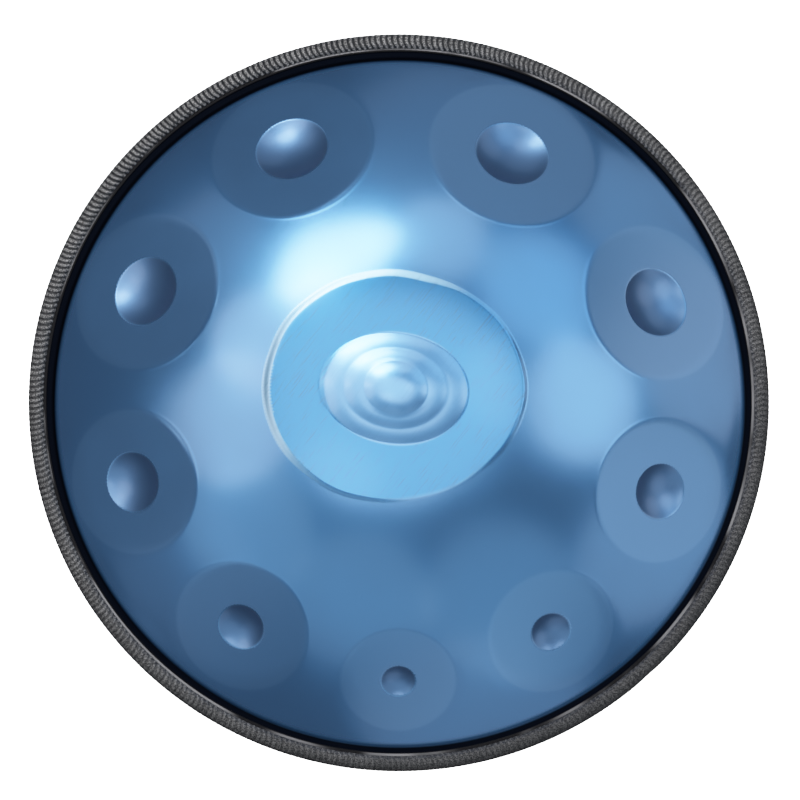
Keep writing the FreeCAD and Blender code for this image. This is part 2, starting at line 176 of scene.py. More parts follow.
def smooth_minimum(first, second, blend):
    """Lower of two heights, rounded where they cross."""
    share = np.clip(0.5 + 0.5 * (second - first) / blend, 0.0, 1.0)
    return second + (first - second) * share - blend * share * (1.0 - share)


def smooth_maximum(first, second, blend):
    """Higher of two heights, rounded where they cross."""
    return -smooth_minimum(-first, -second, blend)


def ramp(value, rounding):
    """Straight ramp from 0 to 1 whose two ends are rounded over a share of its length."""
    value = np.clip(value, 0.0, 1.0)
    top = 1 - rounding
    start = value ** 2 / (2 * rounding)
    middle = value - rounding / 2
    end = top - (1 - value) ** 2 / (2 * rounding)
    height = np.where(value < rounding, start, np.where(value > top, end, middle))
    return height / top


def bump(value, width):
    """Bell curve of height 1."""
    return np.exp(-(value / width) ** 2)


def unit(vectors):
    """Rows scaled to length 1."""
    return vectors / np.linalg.norm(vectors, axis=1, keepdims=True)


def undulation(points, waves, height):
    """Faint waviness of hammered sheet: a sum of plane waves over 3-D points."""
    total = np.zeros(len(points))
    for direction, wavelength, phase in waves:
        total += np.sin(points @ direction * (FULL_TURN / wavelength) + phase)
    return total * height / math.sqrt(len(waves))


def seeded_waves(seed, count, shortest, longest):
    """Directions, wavelengths and phases of a few plane waves."""
    draw = np.random.default_rng(seed)
    waves = []
    for _ in range(count):
        direction = draw.normal(size=3)
        direction /= np.linalg.norm(direction)
        waves.append((direction, draw.uniform(shortest, longest), draw.uniform(0, FULL_TURN)))
    return waves


# ---------------------------------------------------------------- note side: the surface

HAMMER_WAVES = seeded_waves(7, 14, 55.0, 150.0)
HAMMER_HEIGHT = 0.18


def directions_of(plan):
    """Unit vectors from the dome's centre for points of the flat (stereographic) map."""
    reach = np.linalg.norm(plan, axis=1)
    tilt = 2 * np.arctan(reach / 2)
    share = np.where(reach > 1e-9, np.sin(tilt) / np.maximum(reach, 1e-9), 1.0)
    return np.column_stack([plan * share[:, None], np.cos(tilt)])


def plan_of(direction):
    """Points of the flat map for unit vectors from the dome's centre."""
    return direction[:, :2] * (2 / (1 + direction[:, 2]))[:, None]


def field_axis(field):
    """Distance of a tone field's flat from the dome's centre, and the field's axis."""
    azimuth, distance, width = field[:3]
    level = math.sqrt(DOME_RADIUS ** 2 - (width / 2) ** 2)
    tilt = math.asin(distance / level)
    turn = math.radians(azimuth)
    axis = np.array([math.sin(tilt) * math.cos(turn), math.sin(tilt) * math.sin(turn),
                     math.cos(tilt)])
    return level, axis


def press_field(field, direction, radius):
    """Radius of the sheet after one tone field and its dimple are pressed into it.

    Also gives masks of the field and of the dimple.
    """
    width, dimple_width, dimple_depth = field[2:]
    level, axis = field_axis(field)
    cosine = np.clip(direction @ axis, 0.5, 1.0)
    offset = level * np.sqrt(np.maximum(1 - cosine ** 2, 0.0)) / cosine
    half = width / 2
    dimple_half = dimple_width / 2

    ball = (dimple_half ** 2 + dimple_depth ** 2) / (2 * dimple_depth)
    hollow = np.sqrt(np.maximum(ball ** 2 - offset ** 2, 0.0)) - (ball - dimple_depth)
    hollow = smooth_maximum(hollow, np.zeros_like(hollow), DIMPLE_BLEND)
    crown = FIELD_CROWN * np.maximum(1 - (offset / half) ** 2, -1.0)
    flat = (level + crown - hollow) / cosine

    to_apex = np.array([0.0, 0.0, 1.0]) - axis * axis[2]
    to_apex /= np.linalg.norm(to_apex)
    sideways = unit(direction - axis * cosine[:, None] + 1e-12)
    inward = smoothstep(0.5 + 0.5 * sideways @ to_apex)
    blend = FIELD_BLEND_OUTER + (FIELD_BLEND_INNER - FIELD_BLEND_OUTER) * inward
    lip = FIELD_LIP * inward * bump(offset - half - FIELD_LIP_WIDTH, FIELD_LIP_WIDTH)

    near = offset < half * PRESS_REACH
    pressed = np.where(near, smooth_minimum(radius + lip, flat, blend), radius)
    field_mask = smoothstep((half + FIELD_MASK_FADE / 2 - offset) / FIELD_MASK_FADE)
    dimple_mask = smoothstep((dimple_half + DIMPLE_MASK_FADE / 2 - offset) / DIMPLE_MASK_FADE)
    return pressed, field_mask, dimple_mask


def ellipse_radius(angle, half_sizes):
    """Distance of an ellipse's outline from its centre, by azimuth."""
    return 1 / np.sqrt((np.cos(angle) / half_sizes[0]) ** 2
                       + (np.sin(angle) / half_sizes[1]) ** 2)


def plateau_outline(angle):
    """Hand-beaten outline of the plateau: an ellipse a little fuller at its lower left."""
    uneven = (1 + PLATEAU_LEAN * np.cos(angle - math.radians(PLATEAU_LEAN_AZIMUTH))
              + PLATEAU_LOBES * np.cos(3 * (angle - math.radians(PLATEAU_LOBE_AZIMUTH)))
              + PLATEAU_RIPPLE * np.cos(7 * angle + 1.0)
              + PLATEAU_FINE_RIPPLE * np.cos(12 * angle))
    return ellipse_radius(angle, PLATEAU_HALF_SIZES) * uneven


def tier_outline(angle, tier):
    """Outline of one tier of the boss: an ellipse that leans from upper left to lower right."""
    uneven = TIER_FULLNESS + TIER_LEAN * np.cos(2 * (angle - math.radians(TIER_LEAN_AZIMUTH)))
    return ellipse_radius(angle, tier[:2]) * uneven


def polar(points, centre):
    """Distance and azimuth of points about a centre in the XY plane."""
    across = points[:, 0] - centre[0]
    along = points[:, 1] - centre[1]
    return np.hypot(across, along), np.arctan2(along, across)


def raise_ding(points):
    """Lift the middle of the dome to the ding's plateau and boss; also gives their masks."""
    height = points[:, 2].copy()
    distance, angle = polar(points, PLATEAU_CENTRE)
    inside = plateau_outline(angle) - distance
    turned = np.cos(angle - math.radians(WIDE_BEVEL_AZIMUTH))
    wide = smoothstep((turned + 0.1) / 0.6)
    bevel_width = BEVEL_WIDTH + (WIDE_BEVEL_WIDTH - BEVEL_WIDTH) * wide
    crown = (DOME_APEX_Z - PLATEAU_SINK
             - (points[:, 0] ** 2 + points[:, 1] ** 2) / (2 * PLATEAU_CROWN_RADIUS))
    height += (crown - height) * ramp(inside / bevel_width, BEVEL_ROUNDING)

    boss_distance, boss_angle = polar(points, BOSS_CENTRE)
    plateau_top = DOME_APEX_Z - PLATEAU_SINK
    for tier in DING_TIERS:
        foot, rise, steepening = tier[2:]
        reach = boss_distance / tier_outline(boss_angle, tier)
        tier_height = plateau_top + foot + rise * (1 - np.minimum(reach, TIER_REACH) ** steepening)
        tier_height = np.where(reach < TIER_REACH, tier_height, 0.0)
        height = smooth_maximum(height, tier_height, TIER_BLEND)

    plateau_mask = smoothstep(inside / bevel_width)
    # The bevel's mask is strongest at the upper left, towards the lamps, where the bevel is painted
    # lighter as a highlight.
    bevel_mask = smoothstep((inside + 0.4) / 0.8) * smoothstep((bevel_width - inside) / 1.2)
    bevel_mask *= 0.1 + 0.9 * wide
    boss_inside = tier_outline(boss_angle, DING_TIERS[0]) - boss_distance
    boss_mask = smoothstep(boss_inside / 1.2 + 0.5)
    return height, plateau_mask, bevel_mask, boss_mask


def note_side(plan):
    """Points of the note side's outer face for points of the flat map, and their masks."""
    direction = directions_of(plan)
    centre = np.array([0.0, 0.0, DOME_CENTRE_Z])
    waves = undulation(direction * DOME_RADIUS, HAMMER_WAVES, HAMMER_HEIGHT)
    edge_fade = smoothstep((DOME_EDGE_RADIUS - DOME_RADIUS * np.hypot(*direction.T[:2])) / EDGE_FADE)
    radius = DOME_RADIUS + waves * edge_fade
    field_mask = np.zeros(len(plan))
    dimple_mask = np.zeros(len(plan))
    for field in TONE_FIELDS:
        radius, field_part, dimple_part = press_field(field, direction, radius)
        field_mask = np.maximum(field_mask, field_part)
        dimple_mask = np.maximum(dimple_mask, dimple_part)
    points = centre + direction * radius[:, None]
    points[:, 2], plateau_mask, bevel_mask, boss_mask = raise_ding(points)
    masks = {"field": field_mask, "dimple": dimple_mask, "plateau": plateau_mask,
             "bevel": bevel_mask, "boss": boss_mask}
    return points, masks


def note_side_normals(plan):
    """Outward normals of the note side, from small steps over the flat map."""
    step = 1e-4
    here = note_side(plan)[0]
    across = note_side(plan + (step, 0))[0] - here
    along = note_side(plan + (0, step))[0] - here
    return unit(np.cross(across, along))


# ---------------------------------------------------------------- note side: where its points lie

def spaced(start, end, spacing):
    """Distances from start to end, evenly spaced, with both ends."""
    count = max(1, round(abs(end - start) / spacing))
    return list(np.linspace(start, end, count + 1))


def field_ring_radii(field, spacing, fine):
    """Distances from a tone field's centre at which its rings of points lie."""
    half = field[2] / 2
    dimple_half = field[3] / 2
    if not fine:
        return spaced(0, dimple_half, spacing) + spaced(dimple_half, half, spacing)[1:]
    dimple_edge = [dimple_half + step for step in DIMPLE_EDGE_STEPS]
    field_edge = [half + step for step in FIELD_EDGE_STEPS]
    return (spaced(0, dimple_edge[0], spacing * 0.7)[:-1] + dimple_edge
            + spaced(dimple_edge[-1], field_edge[0], spacing)[1:-1] + field_edge)


def field_points(field, spacing, fine):
    """Directions of the rings of points round one tone field's centre."""
    level, axis = field_axis(field)
    side = np.cross(axis, (0.0, 0.0, 1.0))
    side /= np.linalg.norm(side)
    up = np.cross(side, axis)
    directions = []
    for number, radius in enumerate(field_ring_radii(field, spacing, fine)):
        count = max(1, round(FULL_TURN * radius / (spacing * 0.75)))
        turn = (np.arange(count) + 0.5 * (number % 2)) * FULL_TURN / count
        around = np.outer(np.cos(turn), side) + np.outer(np.sin(turn), up)
        directions.append(unit(axis * level + around * radius))
    return plan_of(np.vstack(directions))


def plan_of_xy(points):
    """Flat-map points for places in the XY plane, taken on the bare dome."""
    height = np.sqrt(DOME_RADIUS ** 2 - (points ** 2).sum(axis=1))
    return plan_of(unit(np.column_stack([points, height])))


def ding_curves(spacing, fine):
    """Closed curves round the ding, from its edge inward, as functions of azimuth."""
    def about(centre, radius):
        return lambda angle: np.column_stack([centre[0] + radius(angle) * np.cos(angle),
                                              centre[1] + radius(angle) * np.sin(angle)])

    def offset(distance):
        return about(PLATEAU_CENTRE, lambda angle: plateau_outline(angle) - distance)

    def tier_share(tier, share):
        return about(BOSS_CENTRE, lambda angle: tier_outline(angle, tier) * share)

    curves = [offset(step) for step in (PLATEAU_EDGE_STEPS if fine else COARSE_EDGE_STEPS)]
    shares = TIER_SHARES if fine else COARSE_TIER_SHARES
    for tier in DING_TIERS:
        curves.append(("bridge", spacing))
        curves += [tier_share(tier, share) for share in shares]
    curves.append(("bridge", spacing * 0.8))
    curves.append(tier_share(DING_TIERS[-1], 0.02))
    return curves


def ding_points(spacing, fine):
    """Points of the closed curves round the ding and of evenly spaced curves between them."""
    curves = []
    pending = None
    for item in ding_curves(spacing, fine):
        if isinstance(item, tuple):
            pending = item[1]
            continue
        if pending:
            outer = curves[-1]
            gap = abs(outer(np.zeros(1))[0, 0] - item(np.zeros(1))[0, 0])
            count = max(1, round(gap / pending))
            for step in range(1, count):
                share = step / count
                curves.append(lambda angle, a=outer, b=item, s=share: a(angle) * (1 - s)
                              + b(angle) * s)
            pending = None
        curves.append(item)
    rings = []
    for number, curve in enumerate(curves):
        size = np.abs(curve(np.linspace(0, FULL_TURN, 9))).max()
        count = max(6, round(FULL_TURN * size / (spacing * 0.75)))
        angle = (np.arange(count) + 0.5 * (number % 2)) * FULL_TURN / count
        rings.append(curve(angle))
    return plan_of_xy(np.vstack(rings))


def background_points(spacing, fine):
    """Points of the bare dome between the tone fields and the ding."""
    edge_angle = math.asin(DOME_EDGE_RADIUS / DOME_RADIUS)
    rings = []
    count_of_rings = round(edge_angle * DOME_RADIUS / spacing)
    for number in range(count_of_rings):
        tilt = edge_angle * number / count_of_rings
        count = max(1, round(FULL_TURN * math.sin(tilt) * DOME_RADIUS / spacing))
        turn = (np.arange(count) + 0.5 * (number % 2)) * FULL_TURN / count
        rings.append(np.column_stack([math.sin(tilt) * np.cos(turn),
                                      math.sin(tilt) * np.sin(turn),
                                      np.full(count, math.cos(tilt))]))
    directions = np.vstack(rings)
    margin = (4.0 if fine else 0.0) + spacing * 0.6
    keep = np.ones(len(directions), bool)
    for field in TONE_FIELDS:
        level, axis = field_axis(field)
        offset = level * np.tan(np.arccos(np.clip(directions @ axis, 0.2, 1.0)))
        keep &= offset > field[2] / 2 + margin
    distance, angle = polar(directions * DOME_RADIUS, PLATEAU_CENTRE)
    keep &= distance > plateau_outline(angle) + margin
    return plan_of(directions[keep])


def dome_plan(spacing, fine):
    """Every point of the flat map to be meshed; the last RIM_COLUMNS are the dome's edge."""
    turn = np.arange(RIM_COLUMNS) * FULL_TURN / RIM_COLUMNS
    slope = math.asin(DOME_EDGE_RADIUS / DOME_RADIUS)
    reach = 2 * math.tan(slope / 2)
    edge = np.column_stack([np.cos(turn), np.sin(turn)]) * reach
    groups = [background_points(spacing, fine), ding_points(spacing, fine)]
    groups += [field_points(field, spacing, fine) for field in TONE_FIELDS]
    inner = np.vstack(groups)
    inner = inner[np.linalg.norm(inner, axis=1) < reach - 0.35 * spacing / DOME_RADIUS]
    return np.vstack([inner, edge])


def triangulate(plan):
    """Delaunay triangles over the flat map, anticlockwise seen from above."""
    _, _, faces, originals, _, _ = geometry.delaunay_2d_cdt(
        [Vector(point) for point in plan], [], [], 0, 1e-9)
    source = [original[0] for original in originals]
    faces = np.array([[source[corner] for corner in face] for face in faces])
    first, second, third = plan[faces[:, 0]], plan[faces[:, 1]], plan[faces[:, 2]]
    area = np.cross(second - first, third - first)
    faces[area < 0] = faces[area < 0][:, ::-1]
    return faces[np.abs(area) > 1e-12]


# ---------------------------------------------------------------- meshes

def make_piece(name, points, faces, material, masks=None, normals=None):
    """A smooth-shaded mesh object from points in millimetres."""
    mesh = bpy.data.meshes.new(name)
    mesh.from_pydata((np.asarray(points) * MM).tolist(), [], faces)
    for mask_name, values in (masks or {}).items():
        layer = mesh.attributes.new(mask_name, "FLOAT", "POINT")
        layer.data.foreach_set("value", np.asarray(values, np.float32))
    mesh.shade_smooth()
    mesh.materials.append(material)
    mesh.update()
    if normals is not None:
        mesh.normals_split_custom_set_from_vertices(normals.tolist())
    piece = bpy.data.objects.new(name, mesh)
    bpy.context.scene.collection.objects.link(piece)
    return piece


def lathe(section, columns):
    """Points and quads of a section turned once round the Z axis; the section is (radius, z)."""
    turn = np.arange(columns) * FULL_TURN / columns
    points = [np.column_stack([radius * np.cos(turn), radius * np.sin(turn),
                               np.full(columns, height)]) for radius, height in section]
    return np.vstack(points), ring_quads(len(section), columns)


def ring_quads(rows, columns, closed=False, first=0):
    """Quads between successive rings of points; closed joins the last ring to the first."""
    quads = []
    for row in range(rows if closed else rows - 1):
        here = first + row * columns
        there = first + (row + 1) % rows * columns
        for column in range(columns):
            following = (column + 1) % columns
            quads.append((here + column, here + following, there + following, there + column))
    return quads


def arc(centre, radius, start, end, steps):
    """Points of an arc (radius, z); angles in degrees from the outward direction."""
    return [(centre[0] + radius * math.cos(math.radians(angle)),
             centre[1] + radius * math.sin(math.radians(angle)))
            for angle in np.linspace(start, end, steps + 1)]


def make_note_side(material):
    """The note side's sheet: fine outer face, flange, and a coarser inner face."""
    outer_plan = dome_plan(OUTER_SPACING, fine=True)
    outer, masks = note_side(outer_plan)
    outer_normals = note_side_normals(outer_plan)
    outer_faces = triangulate(outer_plan)

    inner_plan = dome_plan(INNER_SPACING, fine=False)
    inner_normals = note_side_normals(inner_plan)
    inner = note_side(inner_plan)[0] - inner_normals * SHEET
    inner_faces = triangulate(inner_plan)[:, ::-1] + len(outer)

    fillet_centre = (FILLET_RADIUS_OUT, FLANGE_TOP + FLANGE_FILLET)
    dome_angle = math.degrees(math.atan2(FLANGE_TOP + FLANGE_FILLET - DOME_CENTRE_Z,
                                         FILLET_RADIUS_OUT))
    rim_section = (arc(fillet_centre, FLANGE_FILLET, 180 + dome_angle, 270, 5)[1:]
                   + [(GUARD_INNER_RADIUS, FLANGE_TOP), (FLANGE_RADIUS, FLANGE_TOP),
                      (FLANGE_RADIUS, SEAM_TOP), (GUARD_INNER_RADIUS, SEAM_TOP)]
                   + arc(fillet_centre, FLANGE_FILLET + SHEET, 270, 180 + dome_angle, 5)[:-1])
    rim_points, _ = lathe(rim_section, RIM_COLUMNS)
    rim_first = len(outer) + len(inner)
    rings = ([range(len(outer) - RIM_COLUMNS, len(outer))]
             + [range(rim_first + row * RIM_COLUMNS, rim_first + (row + 1) * RIM_COLUMNS)
                for row in range(len(rim_section))]
             + [range(rim_first - RIM_COLUMNS, rim_first)])
    rim_faces = []
    for here, there in zip(rings, rings[1:]):
        for column in range(RIM_COLUMNS):
            following = (column + 1) % RIM_COLUMNS
            rim_faces.append((here[column], there[column], there[following], here[following]))

    points = np.vstack([outer, inner, rim_points])
    faces = outer_faces.tolist() + inner_faces.tolist() + rim_faces
    spare = np.zeros(len(points) - len(outer))
    masks = {name: np.concatenate([mask, spare]) for name, mask in masks.items()}
    corner_normals = np.vstack([outer_normals, -inner_normals, rim_normals(rim_section)])
    return make_piece("note_side_shell", points, faces, material, masks, corner_normals)


def rim_normals(section):
    """Outward normals of the turned rim section."""
    section = np.array(section)
    along = np.gradient(section, axis=0)
    flat = unit(np.column_stack([-along[:, 1], along[:, 0]]))
    turn = np.arange(RIM_COLUMNS) * FULL_TURN / RIM_COLUMNS
    rows = [np.column_stack([radial * np.cos(turn), radial * np.sin(turn),
                             np.full(RIM_COLUMNS, upward)]) for radial, upward in flat]
    return np.vstack(rows)


BOTTOM_WAVES = seeded_waves(23, 12, 60.0, 170.0)
BOTTOM_WAVE_HEIGHT = 0.14
BOTTOM_COLUMNS = 288


def make_bottom_shell(material):
    """The lower sheet, with its resting ring, the port's neck and a faintly wavy dome."""
    centre = (0.0, math.sqrt(BOTTOM_DOME_RADIUS ** 2 - REST_RADIUS ** 2))
    flange_bottom = SEAM_BOTTOM - SHEET
    fillet_height = flange_bottom - FLANGE_FILLET
    reach = BOTTOM_DOME_RADIUS + FLANGE_FILLET
    fillet_centre = (math.sqrt(reach ** 2 - (centre[1] - fillet_height) ** 2), fillet_height)
    dome_end = math.degrees(math.atan2(fillet_centre[1] - centre[1], fillet_centre[0]))
    dome_start = math.degrees(math.atan2(-centre[1], REST_RADIUS))
    inner_radius = BOTTOM_DOME_RADIUS - SHEET
    inner_start = -math.degrees(math.acos(
        math.sqrt(inner_radius ** 2 - (centre[1] - SHEET) ** 2) / inner_radius))
    roll_centre = (PORT_RADIUS + PORT_ROLL, PORT_ROLL)
    neck_middle = PORT_RADIUS + SHEET / 2

    dome_steps = 64
    outer = [(PORT_RADIUS, NECK_HEIGHT - SHEET / 2), (PORT_RADIUS, NECK_HEIGHT / 2)]
    outer += arc(roll_centre, PORT_ROLL, 180, 270, 8)
    outer += [(REST_RADIUS - 6, 0.0), (REST_RADIUS - 1.5, 0.0)]
    outer += arc(centre, BOTTOM_DOME_RADIUS, dome_start + 0.2, dome_end, dome_steps)
    outer += arc(fillet_centre, FLANGE_FILLET, dome_end + 180, 90, 5)[1:]
    outer += [(GUARD_INNER_RADIUS, flange_bottom), (FLANGE_RADIUS, flange_bottom),
              (FLANGE_RADIUS, SEAM_BOTTOM)]
    inner = arc(fillet_centre, FLANGE_FILLET + SHEET, 90, dome_end + 180, 4)
    inner += arc(centre, inner_radius, dome_end, inner_start, dome_steps // 3)[1:]
    inner += arc(roll_centre, PORT_ROLL - SHEET, 270, 180, 4)
    inner += [(PORT_RADIUS + SHEET, NECK_HEIGHT - SHEET / 2)]
    inner += arc((neck_middle, NECK_HEIGHT - SHEET / 2), SHEET / 2, 0, 180, 6)[1:-1]

    points, _ = lathe(outer + inner, BOTTOM_COLUMNS)
    faces = ring_quads(len(outer) + len(inner), BOTTOM_COLUMNS, closed=True)
    radial = np.hypot(points[:, 0], points[:, 1])
    fade = smoothstep((radial - REST_RADIUS) / 25) * smoothstep((DOME_EDGE_RADIUS - radial) / 15)
    waves = undulation(points, BOTTOM_WAVES, BOTTOM_WAVE_HEIGHT) * fade
    outward = unit(points - (0.0, 0.0, centre[1]))
    points = points + outward * waves[:, None]
    return make_piece("port_side_shell", points, faces, material)


GUARD_COLUMNS = 360


def make_rim_guard(material):
    """Black rubber channel that grips both flanges, with rounded lips."""
    half_gap = SEAM_HEIGHT - glue_low.z + SHEET
    outside = guard_high.x
    web = outside - GUARD_THICKNESS
    half_height = half_gap + GUARD_THICKNESS
    lip = GUARD_THICKNESS / 2
    upper_lip = (GUARD_INNER_RADIUS + lip, SEAM_HEIGHT + half_gap + lip)
    lower_lip = (GUARD_INNER_RADIUS + lip, SEAM_HEIGHT - half_gap - lip)
    corner = 0.8
    section = [(web, SEAM_HEIGHT - half_gap), (web, SEAM_HEIGHT + half_gap)]
    section += arc(upper_lip, lip, 270, 90, 8)
    section += arc((outside - corner, SEAM_HEIGHT + half_height - corner), corner, 90, 0, 4)
    section += arc((outside - corner, SEAM_HEIGHT - half_height + corner), corner, 0, -90, 4)
    section += arc(lower_lip, lip, 270, 90, 8)
    points, _ = lathe(section, GUARD_COLUMNS)
    faces = ring_quads(len(section), GUARD_COLUMNS, closed=True)
    return make_piece("rim_guard_channel", points, [face[::-1] for face in faces], material)


# ---------------------------------------------------------------- rim braid

BRAID_LIP_ANGLE = 154.0
BRAID_ROWS = 26
STRAND_DEPTH = 0.8
# Azimuth towards the upper-left lamps: there the strands stand highest, and away from it the braid
# is painted darker as shade.
LIT_SIDE_AND_BUNCHING_AZIMUTH = 120.0
BRAID_JOIN_AZIMUTH = 312.0
BRAID_JOIN_WIDTH = 7.0
BRAID_JOIN_DEPTH = 0.35
LOWEST_STRAND = 0.72
STRAND_LEVELS = np.random.default_rng(11).uniform(LOWEST_STRAND, 1.0, STRANDS)

# How far the strands wander along the rim: size in strands, waves in a turn, phase.
BRAID_DRIFTS = ((0.30, 5, 0.7), (0.20, 13, 2.0))
# Angles round the braid's section, in degrees from its outside, and leans in strands.
OUTER_RUN_END = 88
OUTER_RUN_FADE = 14
OUTER_LEAN = 0.62
OUTER_LEAN_SPAN = 60
INNER_LEAN = 0.26
INNER_LEAN_MIDDLE = 118
INNER_LEAN_RATE = 3.2
TOP_SEAM = 92
TOP_SEAM_WIDTH = 4.0
SELVAGES = (150, 26)
SELVAGE_WIDTH = 5.0
PLY_TURN = 19
PLY_WIDTH = 0.09
WELT_END = 40
WELT_FADE = 8
# Share of the relief at rest, and shares of painted shade: darkness on the braid's side away from
# the lamps and on its outer band.
RESTING_LEVEL = 0.6
SHADED_SIDE_DARKNESS = 0.72
OUTER_BAND_SHADE = 0.85


def braid_relief(azimuth, angle):
    """Height of the braid's strands over its round section, and how dark a point is painted as
    shade: in the gaps between strands, on the side away from the lamps and on the outer band.

    Azimuth is in radians; angle, in degrees, goes from 0 at the outside to 90 at the top.
    """
    side = np.abs(angle)
    drift = sum(size * np.sin(azimuth * waves + start) for size, waves, start in BRAID_DRIFTS)
    outer_half = smoothstep((OUTER_RUN_END - side) / OUTER_RUN_FADE)
    lean = (INNER_LEAN * np.sin(np.radians((side - INNER_LEAN_MIDDLE) * INNER_LEAN_RATE))
            - outer_half * OUTER_LEAN * np.clip((TOP_SEAM - side) / OUTER_LEAN_SPAN, 0, 1))
    phase = azimuth * STRANDS / FULL_TURN + lean * np.sign(angle + 1e-9) + drift
    level = STRAND_LEVELS[np.floor(phase).astype(int) % STRANDS]
    strand = 0.5 - 0.5 * np.cos(FULL_TURN * phase)
    ply = bump((phase % 1 - 0.5), PLY_WIDTH) * outer_half
    twist = 0.5 + 0.5 * np.cos(FULL_TURN * (phase + side / PLY_TURN))
    seam = bump(side - TOP_SEAM, TOP_SEAM_WIDTH)
    selvage = np.clip(sum(bump(side - place, SELVAGE_WIDTH) for place in SELVAGES), 0, 1)
    welt = smoothstep((WELT_END - side) / WELT_FADE)
    lit_side_and_bunching = 0.5 + 0.5 * np.cos(azimuth - math.radians(LIT_SIDE_AND_BUNCHING_AZIMUTH))
    relief = STRAND_DEPTH * (strand ** 0.8 * level - 0.30 * ply + 0.16 * twist - 0.2 * seam)
    resting = STRAND_DEPTH * RESTING_LEVEL
    relief = resting + (relief - resting) * (0.55 + 0.45 * lit_side_and_bunching)
    height = relief * (1 - 0.6 * selvage) + 0.45 * STRAND_DEPTH * selvage
    height = height * (1 - 0.5 * welt) + 0.5 * STRAND_DEPTH * welt
    # Painted shade in the recesses: the gaps between strands, the plies' grooves and the twist's
    # hollows darken towards black.
    gap = smoothstep((0.80 - strand * (0.8 + 0.2 * level)) / 0.45) * (1 - 0.7 * selvage)
    gap = np.maximum(gap, 0.45 * ply + 0.35 * (1 - twist) * (1 - selvage))
    # Painted shade: towards the lower right, away from the lamps, the gaps lose contrast and the
    # whole braid is darkened.
    gap = gap * (0.5 + 0.5 * lit_side_and_bunching)
    gap = gap + (1 - gap) * SHADED_SIDE_DARKNESS * (1 - lit_side_and_bunching)
    # Painted shade: the braid's outer band is darkened to near black.
    gap = np.maximum(gap, OUTER_BAND_SHADE * welt)
    return height, gap


def make_rim_braid(material):
    """Round braided cover, slit along its inner side, with its strands in relief."""
    columns = STRANDS * SAMPLES_PER_STRAND
    azimuth = np.arange(columns) * FULL_TURN / columns
    angles = np.linspace(BRAID_LIP_ANGLE, -BRAID_LIP_ANGLE, BRAID_ROWS)
    slot_half = BRAID_RADIUS * math.sin(math.radians(BRAID_LIP_ANGLE))
    rows = []
    gaps = []
    for angle in angles:
        height, gap = braid_relief(azimuth, np.full(columns, angle))
        lip_fade = min(1.0, (BRAID_LIP_ANGLE - abs(angle)) / 8)
        radius = BRAID_RADIUS - STRAND_DEPTH + height * (0.3 + 0.7 * lip_fade)
        along_rim = (azimuth - math.radians(BRAID_JOIN_AZIMUTH)) * BRAID_CENTRE_RADIUS
        radius = radius - BRAID_JOIN_DEPTH * bump(along_rim, BRAID_JOIN_WIDTH)
        radial = BRAID_CENTRE_RADIUS + radius * math.cos(math.radians(angle))
        upward = SEAM_HEIGHT + radius * math.sin(math.radians(angle))
        rows.append(np.column_stack([radial * np.cos(azimuth), radial * np.sin(azimuth), upward]))
        gaps.append(gap)
    # The slit's edges, tucked beside the guard, are painted fully dark as shade.
    for upward in (-slot_half, slot_half):
        radial = guard_high.x
        rows.append(np.column_stack([radial * np.cos(azimuth), radial * np.sin(azimuth),
                                     np.full(columns, SEAM_HEIGHT + upward)]))
        gaps.append(np.ones(columns))
    faces = ring_quads(len(rows), columns, closed=True)
    return make_piece("rim_braid_cover", np.vstack(rows), [face[::-1] for face in faces],
                      material, {"gap": np.concatenate(gaps)})


# ---------------------------------------------------------------- materials

